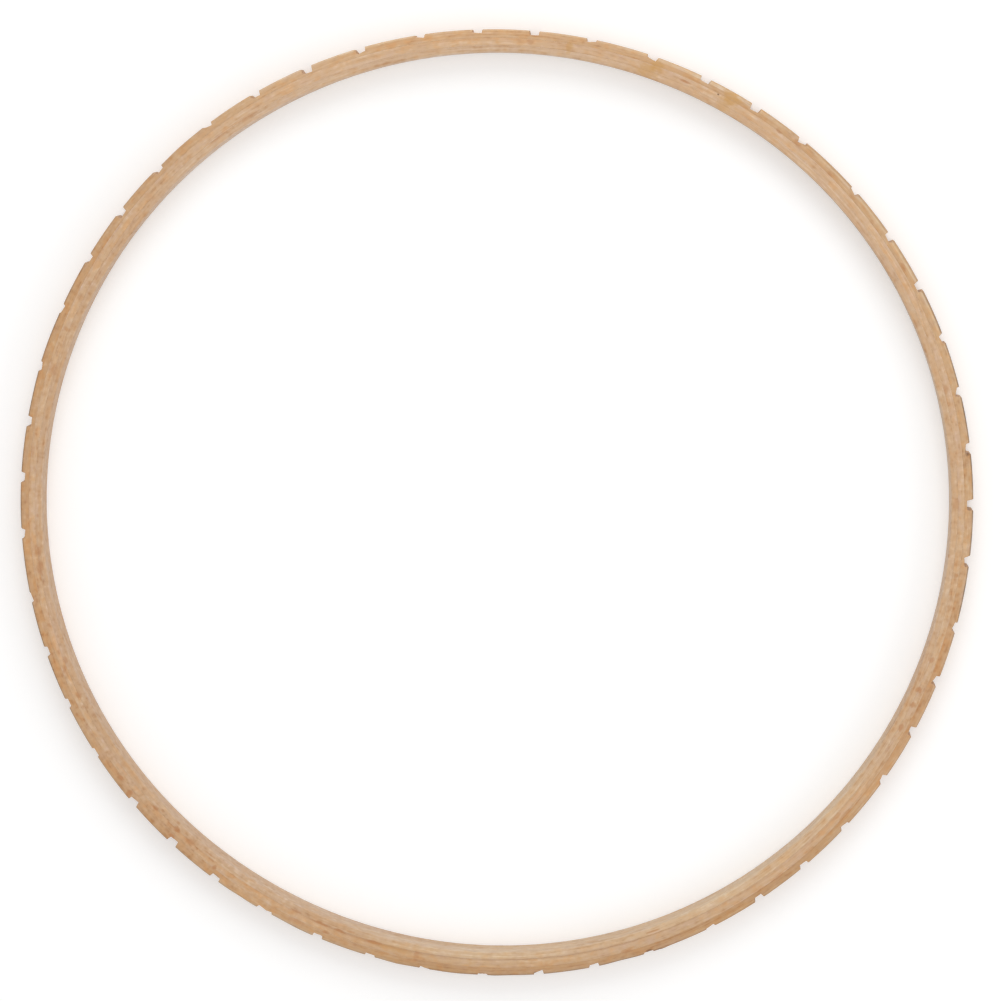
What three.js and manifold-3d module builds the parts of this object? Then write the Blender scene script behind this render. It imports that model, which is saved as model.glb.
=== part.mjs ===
// Circular weaving loom: a hoop laminated from three bent beech strips.
// Each strip is closed on itself by a scarf joint, and the joints are staggered round the hoop.
// The rim carries notches for the warp yarn, cut four at a time by a block of parallel cutters,
// so the floors of one group lie parallel and the end ones slant against the rim.
// Millimetres, +Z up. The hoop lies flat: Z is its axis, and its underside is at Z = 0.
import * as THREE from "three";
import { mergeVertices } from "three/addons/utils/BufferGeometryUtils.js";
import Module from "manifold-3d";

const wasm = await Module();
wasm.setup();

const DEGREE = Math.PI / 180;
const TURN = 2 * Math.PI;

// Hoop
const HOOP_DIAMETER = 300;
const HOOP_HEIGHT = 10;
const OUTER_THICKNESS = 2.6;
const MIDDLE_THICKNESS = 2;
const INNER_THICKNESS = 2.15;
const EDGE_RADIUS = 0.6;

// Glue: a film between neighbouring strips and in each scarf joint, scraped back from the faces
const GLUE_FILM = 0.15;
const GLUE_CLEARANCE = 0.05;
const GLUE_RECESS = 0.2;

// Scarf joints: both ends of a strip taper to a blunt tip, and overlap within one land of the rim
const SCARF_TIP = 0.3;
const SCARF_END_GAP = 0.3;
const SCARF_MARGIN = 1.5;
const SCARF_STAGGER = 120 * DEGREE;

// Notches: depth of each cutter of the block below the rim, in order of angle
const CUTTER_DEPTHS = [1.05, 1.55, 1.2, 0.9];
const CUTTER_PITCH = 17.85;
const NOTCH_FLOOR = 2.85;
const FLANK_ANGLE = 10 * DEGREE;

// Passes of the cutter block, as many as go round the hoop: the last one runs into the first.
// Along the rim, the first notch of a pass lies one spacing past the last notch of the pass before.
// Each pass was set by hand: it strays from its even place by some degrees, and from an even depth.
const FIRST_PASS = 251 * DEGREE;
const PASS_SPACING = 20.04;
const PASS_STRAYS = [0.1, -0.4, 0.1, -0.2, 0.3, -0.7, 0.2, 0.1, -0.2, 0.1, -0.1, 0.1, 0.1];
const PASS_DEPTHS = [-0.35, -0.3, -0.15, 0.2, 0.4, 0.15, 0.25, -0.15, 0.15, 0, 0.05, -0.2, 0.35];

// Fineness of the round faces, and how far blanks and cutters reach past the finished hoop
const HOOP_SEGMENTS = 144;
const EDGE_STEPS = 2;
const SCARF_SEGMENTS = 4;
const OVERRUN = 2;

const GLUE_GAP = GLUE_FILM + 2 * GLUE_CLEARANCE;
const HOOP_RADIUS = HOOP_DIAMETER / 2;

// Strips from the rim inwards, each with the name of the glue line on its inner face.
// The outer one is the thickest, because the notches weaken it.
const PLIES = [
  { name: "outer", thickness: OUTER_THICKNESS, colour: "#c69c70", glueName: "outer_glue_line" },
  { name: "middle", thickness: MIDDLE_THICKNESS, colour: "#d0ac82", glueName: "inner_glue_line" },
  { name: "inner", thickness: INNER_THICKNESS, colour: "#cba77e" },
];
const GLUE_COLOUR = "#a97f55";
const WOOD_ROUGHNESS = 0.6;
const GLUE_ROUGHNESS = 0.45;

const lastCutter = CUTTER_DEPTHS.length - 1;
const cutterAcross = (cutter) => (cutter - lastCutter / 2) * CUTTER_PITCH;
const cutterOffset = (cutter) => Math.asin(cutterAcross(cutter) / HOOP_RADIUS);
const passStep = cutterOffset(lastCutter) - cutterOffset(0) + PASS_SPACING / HOOP_RADIUS;
const passCount = Math.ceil(TURN / passStep);
const passStray = (pass) => PASS_STRAYS[pass % PASS_STRAYS.length] * DEGREE;
const passAngle = (pass) => FIRST_PASS + pass * passStep + passStray(pass);

// The outer scarf lies in the land between the first two passes, and the others follow it
const landStart = passAngle(0) + cutterOffset(lastCutter);
const landEnd = passAngle(1) + cutterOffset(0);
const notchMouth = NOTCH_FLOOR + 2 * Math.max(...CUTTER_DEPTHS) * Math.tan(FLANK_ANGLE);
const scarfLength = (landEnd - landStart) * HOOP_RADIUS - notchMouth - 2 * SCARF_MARGIN;

let face = HOOP_RADIUS;
PLIES.forEach((ply, index) => {
  const middle = (landStart + landEnd) / 2 + index * SCARF_STAGGER;
  const halfLap = scarfLength / 2 / face;
  ply.outside = face;
  ply.inside = face - ply.thickness;
  ply.lapStart = middle - halfLap;
  ply.lapEnd = middle + halfLap;
  ply.endGap = SCARF_END_GAP / face;
  face = ply.inside - GLUE_GAP;
});

const outermost = PLIES[0];
const innermost = PLIES[PLIES.length - 1];

// Every ring shares these angles, so that facing facets are parallel and the glue gaps even
const ringAngles = [...Array(HOOP_SEGMENTS).keys()].map((step) => (step * TURN) / HOOP_SEGMENTS);
for (const { lapStart, lapEnd, endGap } of PLIES) {
  const ends = [lapStart, lapStart + endGap, lapEnd - endGap, lapEnd];
  ringAngles.push(...ends.map((angle) => angle % TURN));
}
ringAngles.sort((a, b) => a - b);

const polar = (radius, angle) => new THREE.Vector2(radius * Math.cos(angle), radius * Math.sin(angle));

// Points of an arc from one angle up to another, with all the shared angles in between.
// A strip starts within its second turn at the latest, so it ends within the third.
function arc(radius, from, to) {
  const turns = [0, TURN, 2 * TURN];
  const angles = turns.flatMap((turn) => ringAngles.map((angle) => angle + turn));
  const nearest = SCARF_END_GAP / HOOP_RADIUS / 2;
  const between = angles.filter((angle) => angle > from + nearest && angle < to - nearest);
  return [from, ...between, to].map((angle) => polar(radius, angle));
}

// Points along the sloping face of a strip's lower tongue, lifted off it by an offset
function slope(ply, offset, from, to) {
  const rise = ply.thickness - 2 * SCARF_TIP - GLUE_GAP;
  return [...Array(SCARF_SEGMENTS + 1).keys()].map((step) => {
    const angle = from + ((to - from) * step) / SCARF_SEGMENTS;
    const share = (angle - ply.lapStart) / (ply.lapEnd - ply.lapStart);
    return polar(ply.inside + SCARF_TIP + rise * share + offset, angle);
  });
}

function extrude(shape, bottom, top) {
  const geometry = new THREE.ExtrudeGeometry(shape, { depth: top - bottom, bevelEnabled: false });
  return geometry.translate(0, 0, bottom);
}

function toSolid(geometry) {
  geometry.deleteAttribute("normal");
  geometry.deleteAttribute("uv");
  const merged = mergeVertices(geometry);
  const mesh = new wasm.Mesh({
    numProp: 3,
    vertProperties: new Float32Array(merged.attributes.position.array),
    triVerts: new Uint32Array(merged.index.array),
  });
  return new wasm.Manifold(mesh);
}

function toGeometry(solid) {
  const mesh = solid.getMesh();
  const geometry = new THREE.BufferGeometry();
  geometry.setAttribute("position", new THREE.BufferAttribute(mesh.vertProperties, 3));
  geometry.setIndex(new THREE.BufferAttribute(mesh.triVerts, 1));
  geometry.computeVertexNormals();
  return geometry;
}

// The hoop's finished section, with rounded edges, turned about its axis
function finishedHoop() {
  const low = EDGE_RADIUS;
  const high = HOOP_HEIGHT - EDGE_RADIUS;
  const near = innermost.inside + EDGE_RADIUS;
  const far = outermost.outside - EDGE_RADIUS;
  const corners = [[far, low], [far, high], [near, high], [near, low]];
  const section = corners.flatMap(([radius, height], corner) =>
    [...Array(EDGE_STEPS + 1).keys()].map((step) => {
      const angle = (TURN / 4) * (corner - 1 + step / EDGE_STEPS);
      const round = polar(EDGE_RADIUS, angle);
      return round.add(new THREE.Vector2(radius, height));
    })
  );
  const ring = new THREE.LatheGeometry([...section, section[0]], HOOP_SEGMENTS);
  return toSolid(ring.rotateX(TURN / 4));
}

// One bent strip before it is planed and rounded: full height and, on its open side, oversize
function plyBlank(ply) {
  const outside = ply === outermost ? ply.outside + OVERRUN : ply.outside;
  const inside = ply === innermost ? ply.inside - OVERRUN : ply.inside;
  const lowerTip = ply.lapStart + ply.endGap;
  const upperTip = ply.lapEnd - ply.endGap;
  const outline = [
    ...slope(ply, 0, lowerTip, ply.lapEnd),
    ...arc(outside, ply.lapEnd, upperTip + TURN),
    ...slope(ply, GLUE_GAP, ply.lapStart, upperTip).reverse(),
    ...arc(inside, lowerTip, ply.lapStart + TURN).reverse(),
  ];
  return toSolid(extrude(new THREE.Shape(outline), -OVERRUN, HOOP_HEIGHT + OVERRUN));
}

// One cutter of the block, at its place on a given pass
function notchCutter(pass, cutter) {
  const across = cutterAcross(cutter);
  const depth = CUTTER_DEPTHS[cutter] + PASS_DEPTHS[pass % PASS_DEPTHS.length];
  const floor = HOOP_RADIUS * Math.cos(cutterOffset(cutter)) - depth;
  const mouth = HOOP_RADIUS + OVERRUN;
  const halfFloor = NOTCH_FLOOR / 2;
  const halfMouth = halfFloor + (mouth - floor) * Math.tan(FLANK_ANGLE);
  const profile = new THREE.Shape();
  profile.moveTo(floor, across - halfFloor);
  profile.lineTo(mouth, across - halfMouth);
  profile.lineTo(mouth, across + halfMouth);
  profile.lineTo(floor, across + halfFloor);
  const block = extrude(profile, -OVERRUN, HOOP_HEIGHT + OVERRUN);
  return toSolid(block.rotateZ(passAngle(pass)));
}

function cutNotches(solid) {
  let cut = solid;
  for (let pass = 0; pass < passCount; pass += 1) {
    for (const cutter of CUTTER_DEPTHS.keys()) {
      cut = cut.subtract(notchCutter(pass, cutter));
    }
  }
  return cut;
}

// The glue between a strip and the next one inwards
function glueLine(ply) {
  const outside = ply.inside - GLUE_CLEARANCE;
  const shape = new THREE.Shape(ringAngles.map((angle) => polar(outside, angle)));
  shape.holes.push(new THREE.Path(ringAngles.map((angle) => polar(outside - GLUE_FILM, angle))));
  return extrude(shape, GLUE_RECESS, HOOP_HEIGHT - GLUE_RECESS);
}

// The glue between the two tongues of a strip's scarf joint
function scarfGlue(ply) {
  const from = ply.lapStart + ply.endGap;
  const to = ply.lapEnd - ply.endGap;
  const outline = [
    ...slope(ply, GLUE_CLEARANCE, from, to),
    ...slope(ply, GLUE_CLEARANCE + GLUE_FILM, from, to).reverse(),
  ];
  const low = EDGE_RADIUS + GLUE_RECESS;
  return extrude(new THREE.Shape(outline), low, HOOP_HEIGHT - low);
}

const hoop = new THREE.Group();

function addPiece(name, geometry, colour, roughness) {
  const material = new THREE.MeshStandardMaterial({ color: colour, roughness, metalness: 0 });
  const mesh = new THREE.Mesh(geometry, material);
  mesh.name = name;
  hoop.add(mesh);
}

const envelope = finishedHoop();
for (const ply of PLIES) {
  const planed = plyBlank(ply).intersect(envelope);
  const solid = ply === outermost ? cutNotches(planed) : planed;
  addPiece(`${ply.name}_ply`, toGeometry(solid), ply.colour, WOOD_ROUGHNESS);
  addPiece(`${ply.name}_scarf_glue`, scarfGlue(ply), GLUE_COLOUR, GLUE_ROUGHNESS);
  if (ply !== innermost) {
    addPiece(ply.glueName, glueLine(ply), GLUE_COLOUR, GLUE_ROUGHNESS);
  }
}

export default hoop;
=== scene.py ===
import math
import random

import bmesh
import bpy
import numpy as np
from mathutils import Matrix, Vector


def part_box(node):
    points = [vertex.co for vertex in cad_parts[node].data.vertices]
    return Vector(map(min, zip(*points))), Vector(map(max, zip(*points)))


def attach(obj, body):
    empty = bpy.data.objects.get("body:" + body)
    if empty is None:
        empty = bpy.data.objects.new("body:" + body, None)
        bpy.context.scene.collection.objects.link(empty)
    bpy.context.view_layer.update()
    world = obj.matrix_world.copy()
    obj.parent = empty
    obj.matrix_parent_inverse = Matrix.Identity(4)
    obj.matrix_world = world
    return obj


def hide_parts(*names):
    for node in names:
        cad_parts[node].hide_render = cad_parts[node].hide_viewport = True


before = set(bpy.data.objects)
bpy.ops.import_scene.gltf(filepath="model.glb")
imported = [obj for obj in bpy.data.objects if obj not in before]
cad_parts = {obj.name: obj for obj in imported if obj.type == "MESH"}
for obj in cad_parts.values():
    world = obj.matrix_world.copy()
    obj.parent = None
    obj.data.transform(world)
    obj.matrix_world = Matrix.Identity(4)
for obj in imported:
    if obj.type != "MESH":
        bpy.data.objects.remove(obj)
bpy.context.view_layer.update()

MM = 0.001
DEGREE = math.pi / 180
TURN = 2 * math.pi


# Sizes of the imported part, in millimetres

def radii(node):
    """Least and greatest distance of a node's points from the hoop's axis."""
    distances = [point.co.xy.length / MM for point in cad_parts[node].data.vertices]
    return min(distances), max(distances)


OUTER_INSIDE, RIM = radii("outer_ply")
MIDDLE_INSIDE, MIDDLE_OUTSIDE = radii("middle_ply")
BORE, INNER_OUTSIDE = radii("inner_ply")
OUTER_SEAM = (OUTER_INSIDE + MIDDLE_OUTSIDE) / 2
INNER_SEAM = (MIDDLE_INSIDE + INNER_OUTSIDE) / 2
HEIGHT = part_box("outer_ply")[1].z / MM

# The hoop was bent by hand from strips of uneven thickness: number of lobes, size and direction
# of the departures from round, from an even width and of the outer seam from its place
OUT_OF_ROUND = ((2, 0.26, 6.5), (3, 0.21, 54.4), (4, 0.15, 22.4), (5, 0.04, 59.3))
UNEVEN_WIDTH = ((1, 0.04, 291.3), (2, 0.18, 108.4), (3, 0.075, 27.6), (4, 0.06, 28.6))
SEAM_WANDER = ((1, 0.1, 62), (2, 0.23, 111), (3, 0.11, 31), (4, 0.04, 18))

# Places where the rim stands proud or low: angle, reach in degrees and height. They begin at a share
# of the way from the middle of the width to the rim.
SWELL_FROM = 0.4
SWELLS = (
    (134, 3, -0.16), (161.5, 6, 0.17), (237, 2, -0.12), (242, 4, -0.25),
    (258, 2.5, 0.17), (265, 3, 0.1), (270, 1.2, 0.08), (272.3, 1.5, -0.06), (285.5, 2.5, -0.17),
    (291, 0.8, 0.16),
)

# Notches: the block of four cutters went round in passes, each set by hand in place and depth
CUTTER_DEPTHS = (1.05, 1.55, 1.2, 0.9)
LAST_CUTTER = len(CUTTER_DEPTHS) - 1
CUTTER_PITCH = 17.85
NOTCH_FLOOR = 2.85
FLANK_ANGLE = 10 * DEGREE
# Direction of the first pass in degrees, and the distance along the rim from one pass to the next
FIRST_PASS = 251
PASS_SPACING = 20.04
# Of each pass: how far it strays in degrees, the depth that it adds, and how much deeper its first
# cutter goes than its last
PASS_STRAYS = (0.1, -0.4, 0.1, -0.2, 0.3, -0.7, 0.2, 0.1, -0.2, 0.1, -0.1, 0.1, 0.1)
PASS_DEPTHS = (-0.35, -0.3, -0.15, 0.2, 0.4, 0.15, 0.25, -0.15, 0.15, 0, 0.05, -0.2, 0.35)
PASS_SWINGS = (0.1, -0.45, -0.5, -0.3, 0.4, -0.1, -0.1, 0, 0.6, 0.45, -0.45, -0.35, 0.55)
LEAST_DEPTH = 0.35
# Spread of each notch's own depth, width, flanks, lean and bumps, which are drawn at random
NOTCH_SEED = 51
DEPTH_SPREAD = 0.05
FLOOR_SPREAD = 0.12
FLANK_SPREAD = 3 * DEGREE
FLOOR_LEAN = 0.12
FLOOR_BUMP = 0.03
# Notches that were cut again by hand: pass and cutter, with the lean and the depth that this added
RECUT = {
    (1, 0): (0.5, 0.0),
    (1, 1): (-0.75, -0.1),
    (1, 2): (-0.5, 0.0),
    (1, 3): (-0.6, -0.2),
    (3, 2): (0.7, 0.22),
    (4, 2): (0.5, 0.0),
    (4, 3): (0.7, 0.26),
    (5, 2): (0.4, 0.16),
    (5, 3): (0.3, -0.15),
    (6, 0): (-0.35, 0.0),
    (8, 1): (0.5, 0.0),
    (11, 3): (-0.5, 0.0),
}
# Reach of the rounded corners, and the steps in which an outline is worked out
MOUTH_ROUND = 0.2
FLOOR_ROUND = 0.18
FLANK_TRIES = 8
FLOOR_SAMPLES = 5
CORNER_SAMPLES = 5

# Edges: rounded on the open sides, crisp where a cutter went through, barely eased at the seams
RIM_ROUND = 1.0
# A stretch of the rim that was rounded more: angle, reach in degrees and what this added. It is full
# up to a share of the reach.
ROUNDER_RIM = (48, 34, 0.3)
ROUNDER_FULL = 0.5
BORE_ROUND = 0.5
NOTCH_EDGE = 0.1
# Depths of a cut at which the rim's rounding starts to give way to a notch's edge, and is gone
ROUND_KEPT = 0.05
ROUND_GONE = 0.45
# A face deeper than this share of the rounding that the hoop was finished to has its own edge
ROUND_SHARE = 0.9
SEAM_EDGE = 0.02
EDGE_STEPS = 5
COLUMN_STEP = 0.4 * DEGREE
SHARP_FROM = 38 * DEGREE
ANGLE_DIGITS = 7

# Seams between the strips: tight nearly all round, but the inner one gapes over one stretch. Two
# waves, of that many to a turn, make a ripple that adds to the least share of a gap.
SEAM_GAP = 0.022
GAPING = 0.015
GAPING_MIDDLE = 276 * DEGREE
GAPING_REACH = 34 * DEGREE
GAPING_FULL = 0.55
LONG_WAVES = 9
SHORT_WAVES = 23
WAVE_SHIFT = 1
SEAM_LEAST = 0.7
SEAM_RIPPLE = 0.6
GAPING_LEAST = 0.6
GAPING_RIPPLE = 0.4
GLUE_RECESS = 0.03
FILM_CLEARANCE = 0.004

# Scarf joints: thickness of a tongue's blunt tip, the gaps along the slope and at the tip, and the
# distance from the nearest notches. The strips' joints are staggered, and the last strip ends in the
# third turn.
SCARF_TIP = 0.12
SCARF_GAP = 0.025
SCARF_END_GAP = 0.12
SCARF_MARGIN = 1.5
SCARF_STAGGER = 120 * DEGREE
SCARF_STEPS = 24
SHOULDER = 0.02
COLUMN_TURNS = 3


def cutter_across(cutter):
    """How far a cutter lies from the middle of its block."""
    return (cutter - LAST_CUTTER / 2) * CUTTER_PITCH


def cutter_offset(cutter):
    """Angle on the rim between a cutter and the middle of its block."""
    return math.asin(cutter_across(cutter) / RIM)


def pass_angle(index):
    """Direction of the middle of the block in one pass."""
    step = cutter_offset(LAST_CUTTER) - cutter_offset(0) + PASS_SPACING / RIM
    return (FIRST_PASS + PASS_STRAYS[index]) * DEGREE + index * step


land_start = pass_angle(0) + cutter_offset(LAST_CUTTER)
land_end = pass_angle(1) + cutter_offset(0)
notch_mouth = NOTCH_FLOOR + 2 * max(CUTTER_DEPTHS) * math.tan(FLANK_ANGLE)
scarf_length = (land_end - land_start) * RIM - notch_mouth - 2 * SCARF_MARGIN


def smoothstep(low, high, value):
    share = min(max((value - low) / (high - low), 0), 1)
    return share * share * (3 - 2 * share)


def lobed(angle, terms):
    """Sum of the waves that a departure round the hoop is made of."""
    return sum(size * math.cos(lobes * (angle - turn * DEGREE)) for lobes, size, turn in terms)


def away(angle, middle):
    """Angle from middle, between half a turn back and half a turn on."""
    return (angle - middle + math.pi) % TURN - math.pi


def swollen(angle):
    """How far the rim stands proud at an angle."""
    height = 0
    for middle, reach, most in SWELLS:
        off = abs(away(angle, middle * DEGREE))
        if off < reach * DEGREE:
            height += most * (1 - smoothstep(0, reach * DEGREE, off))
    return height


def bent(radius, angle):
    """Where a radius of the even hoop lies in the one that was bent by hand."""
    middle = (RIM + BORE) / 2
    share = (radius - middle) / (RIM - middle)
    uneven = share * lobed(angle, UNEVEN_WIDTH) + smoothstep(SWELL_FROM, 1, share) * swollen(angle)
    return radius + lobed(angle, OUT_OF_ROUND) + uneven


# Outline of the rim

def rounded_corner(before, corner, after, reach):
    """Points of a curve that cuts a corner off, starting and ending that far from it."""
    start = corner + (before - corner).normalized() * min(reach, (before - corner).length / 2)
    end = corner + (after - corner).normalized() * min(reach, (after - corner).length / 2)
    points = []
    for step in range(CORNER_SAMPLES + 1):
        share = step / CORNER_SAMPLES
        points.append(start.lerp(corner, share).lerp(corner.lerp(end, share), share))
    return points


def notch_outline(direction, cutter, depth, floor_width, flanks, lean, bumps):
    """Angles and radii of the edge of one notch, in order of angle."""
    across = cutter_across(cutter)
    floor = RIM * math.cos(cutter_offset(cutter)) - depth
    sides = []
    for side, flank in zip((-1, 1), flanks):
        foot = Vector((floor + side * lean / 2, across + side * floor_width / 2))
        reach = 0
        for _ in range(FLANK_TRIES):
            y = foot.y + side * reach * math.tan(flank)
            reach = math.sqrt(RIM * RIM - y * y) - foot.x
        mouth = Vector((foot.x + reach, foot.y + side * reach * math.tan(flank)))
        rim_angle = math.atan2(mouth.y, mouth.x) + side * 2 * MOUTH_ROUND / RIM
        rim = Vector((RIM * math.cos(rim_angle), RIM * math.sin(rim_angle)))
        sides.append((rim, mouth, foot))
    (rim_a, mouth_a, foot_a), (rim_b, mouth_b, foot_b) = sides
    floor_points = []
    for step, bump in enumerate(bumps, start=1):
        point = foot_a.lerp(foot_b, step / (len(bumps) + 1))
        floor_points.append(Vector((point.x + bump, point.y)))
    points = rounded_corner(rim_a, mouth_a, foot_a, MOUTH_ROUND)
    points += rounded_corner(mouth_a, foot_a, floor_points[0], FLOOR_ROUND)
    points += floor_points
    points += rounded_corner(floor_points[-1], foot_b, mouth_b, FLOOR_ROUND)
    points += rounded_corner(foot_b, mouth_b, rim_b, MOUTH_ROUND)
    angles = np.array([direction + math.atan2(point.y, point.x) for point in points])
    reaches = np.array([min(point.length, RIM) for point in points])
    return angles, reaches


def all_notches():
    """Edges of all notches, in the order in which they were cut."""
    draw = random.Random(NOTCH_SEED)
    notches = []
    for index in range(len(PASS_STRAYS)):
        for cutter, cutter_depth in enumerate(CUTTER_DEPTHS):
            swing = PASS_SWINGS[index] * (0.5 - cutter / LAST_CUTTER)
            stray = draw.uniform(-DEPTH_SPREAD, DEPTH_SPREAD)
            recut_lean, recut_depth = RECUT.get((index, cutter), (0.0, 0.0))
            depth = cutter_depth + PASS_DEPTHS[index] + swing + stray + recut_depth
            width = NOTCH_FLOOR + draw.uniform(-FLOOR_SPREAD, FLOOR_SPREAD)
            flanks = [FLANK_ANGLE + draw.uniform(-FLANK_SPREAD, FLANK_SPREAD) for _ in range(2)]
            lean = draw.uniform(-FLOOR_LEAN, FLOOR_LEAN) + recut_lean
            bumps = [draw.uniform(-FLOOR_BUMP, FLOOR_BUMP) for _ in range(FLOOR_SAMPLES)]
            deep = max(depth, LEAST_DEPTH)
            notches.append(notch_outline(pass_angle(index), cutter, deep, width, flanks, lean, bumps))
    return notches


notches = all_notches()
even_angles = np.arange(0, TURN, COLUMN_STEP)


def rim_radius(angle):
    """Radius of the rim, with the deepest notch that reaches that angle."""
    radius = RIM
    for notch_angles, notch_radii in notches:
        middle = notch_angles[len(notch_angles) // 2]
        local = middle + away(angle, middle)
        if notch_angles[0] < local < notch_angles[-1]:
            radius = min(radius, float(np.interp(local, notch_angles, notch_radii)))
    return radius


def outer_seam(angle):
    """Radius of the outer seam, which wanders."""
    return OUTER_SEAM + lobed(angle, SEAM_WANDER)


def inner_seam(angle):
    """The inner seam keeps to one radius all round."""
    return INNER_SEAM


def seam_gap(angle, gaping):
    """Width of a seam that opens by that much more in the gaping stretch."""
    near = 1 - smoothstep(GAPING_FULL, 1, abs(away(angle, GAPING_MIDDLE)) / GAPING_REACH)
    waves = math.sin(LONG_WAVES * angle) * math.sin(SHORT_WAVES * angle + WAVE_SHIFT)
    ripple = 0.5 + 0.5 * waves
    tight = SEAM_GAP * (SEAM_LEAST + SEAM_RIPPLE * ripple)
    return tight + gaping * near * (GAPING_LEAST + GAPING_RIPPLE * ripple)


def outer_gap(angle):
    return seam_gap(angle, 0)


def inner_gap(angle):
    return seam_gap(angle, GAPING)


# Meshes

def edge_points(edge, near, far):
    """How far in from its side and down from the top the points of a rounded edge lie, along the
    stretch of it between two depths from the side."""
    start = math.acos(max(1 - near / edge, 0))
    end = math.acos(max(1 - far / edge, 0))
    points = []
    for angle in np.linspace(start, end, EDGE_STEPS + 1):
        points.append((edge * (1 - math.cos(angle)), edge * (1 - math.sin(angle))))
    return points


def half_section(inner, outer, inner_side, outer_side, crisp):
    """Radius and drop from the top of the points of a section's upper half, from the outside in.

    A side is the radius and the rounding that the hoop was finished to. A face that lies deeper
    than the rounding has a crisp edge instead.
    """
    if outer_side[0] - outer > ROUND_SHARE * outer_side[1]:
        outer_side = (outer, crisp)
    if inner - inner_side[0] > ROUND_SHARE * inner_side[1]:
        inner_side = (inner, crisp)
    outer_face, outer_edge = outer_side
    inner_face, inner_edge = inner_side
    outside = edge_points(outer_edge, outer_face - outer, outer_face - inner - 2 * crisp)
    inside = edge_points(inner_edge, inner - inner_face, outer - inner_face - 2 * crisp)
    points = [(outer_face - depth, drop + inside[-1][1]) for depth, drop in outside]
    points += [(inner_face + depth, drop + outside[-1][1]) for depth, drop in reversed(inside)]
    return points


def eased(depth, edge):
    """Drop of a rounded edge at a depth from its side."""
    return edge - math.sqrt(edge ** 2 - max(edge - depth, 0) ** 2)


def film_section(inner, outer):
    """Upper half of a glue film's section, scraped back from the hoop's faces."""
    planed = eased(RIM - outer, RIM_ROUND) + eased(inner - BORE, BORE_ROUND)
    return [(outer, planed + GLUE_RECESS), (inner, planed + GLUE_RECESS)]


def swept(name, columns, closed):
    """A piece along the hoop, from columns of an angle and the upper half of a section."""
    sheet = bmesh.new()
    loops = []
    for angle, half in columns:
        outline = [(radius, HEIGHT - drop) for radius, drop in half]
        outline += reversed(half)
        loop = []
        for radius, height in outline:
            reach = bent(radius, angle)
            place = Vector((reach * math.cos(angle), reach * math.sin(angle), height))
            loop.append(sheet.verts.new(place * MM))
        loops.append(loop)
    pairs = list(zip(loops, loops[1:]))
    if closed:
        pairs.append((loops[-1], loops[0]))
    for here, there in pairs:
        for index in range(len(here)):
            after = (index + 1) % len(here)
            sheet.faces.new((here[index], here[after], there[after], there[index]))
    if not closed:
        sheet.faces.new(loops[0])
        sheet.faces.new(loops[-1])
    bmesh.ops.recalc_face_normals(sheet, faces=sheet.faces)
    mesh = bpy.data.meshes.new(name)
    sheet.to_mesh(mesh)
    sheet.free()
    mesh.shade_smooth()
    mesh.set_sharp_from_angle(angle=SHARP_FROM)
    piece = bpy.data.objects.new(name, mesh)
    bpy.context.scene.collection.objects.link(piece)
    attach(piece, "root")
    return piece


class Strip:
    """One bent strip: the radii of its two faces, their roundings and the place of its scarf joint."""

    def __init__(self, order, outer, inner, outer_round, inner_round):
        self.outer = outer
        self.inner = inner
        self.outer_round = outer_round
        self.inner_round = inner_round
        self.lap_middle = (land_start + land_end) / 2 + order * SCARF_STAGGER
        half_lap = scarf_length / 2 / RIM
        self.lap_start = self.lap_middle - half_lap
        self.lap_end = self.lap_middle + half_lap
        gap = SCARF_END_GAP / RIM
        self.laps = np.linspace(self.lap_start + gap, self.lap_end - gap, SCARF_STEPS)

    def slope(self, angle):
        """Radius of the sloping face of the lower tongue."""
        share = (angle - self.lap_start) / (self.lap_end - self.lap_start)
        inside = self.inner(self.lap_middle) + SCARF_TIP
        outside = self.outer(self.lap_middle) - SCARF_TIP - SCARF_GAP
        return inside + (outside - inside) * share

    def column(self, angle, inner=None, outer=None):
        """Angle and section, between the strip's own faces where no other is given."""
        inner_face = self.inner(angle)
        outer_face = self.outer(angle)
        inner_side = (inner_face, self.inner_round)
        outer_side = (outer_face, self.outer_round(outer_face, angle))
        inner = inner_face if inner is None else inner
        outer = outer_face if outer is None else outer
        return angle, half_section(inner, outer, inner_side, outer_side, SEAM_EDGE)

    def columns(self, base_angles):
        """Columns from the tip of the lower tongue, once round, to the tip of the upper one."""
        shoulder = SHOULDER / RIM
        turns = np.concatenate([base_angles + turn * TURN for turn in range(COLUMN_TURNS)])
        start = self.lap_end + shoulder
        end = self.lap_start + TURN - shoulder
        between = turns[(turns > start) & (turns < end)]
        lower = (*self.laps, self.lap_end - shoulder)
        upper = (self.lap_start + shoulder, *self.laps)
        result = [self.column(angle, outer=self.slope(angle)) for angle in lower]
        result += [self.column(angle) for angle in (self.lap_end, *between, self.lap_start + TURN)]
        result += [self.column(angle + TURN, inner=self.slope(angle) + SCARF_GAP) for angle in upper]
        return result

    def scarf_columns(self):
        """Columns of the glue film in the scarf joint."""
        result = []
        for angle in self.laps:
            inside = self.slope(angle) + FILM_CLEARANCE
            outside = self.slope(angle) + SCARF_GAP - FILM_CLEARANCE
            result.append((angle, film_section(inside, outside)))
        return result


def rim_edge(radius, angle):
    """The rim's rounding, which a notch cuts away."""
    middle, reach, more = ROUNDER_RIM
    off = abs(away(angle, middle * DEGREE)) / (reach * DEGREE)
    full = RIM_ROUND + more * (1 - smoothstep(ROUNDER_FULL, 1, off))
    return full + (NOTCH_EDGE - full) * smoothstep(ROUND_KEPT, ROUND_GONE, RIM - radius)


def seam_edge(radius, angle):
    """The rounding of a face that lies in a seam, the same all round."""
    return SEAM_EDGE


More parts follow.
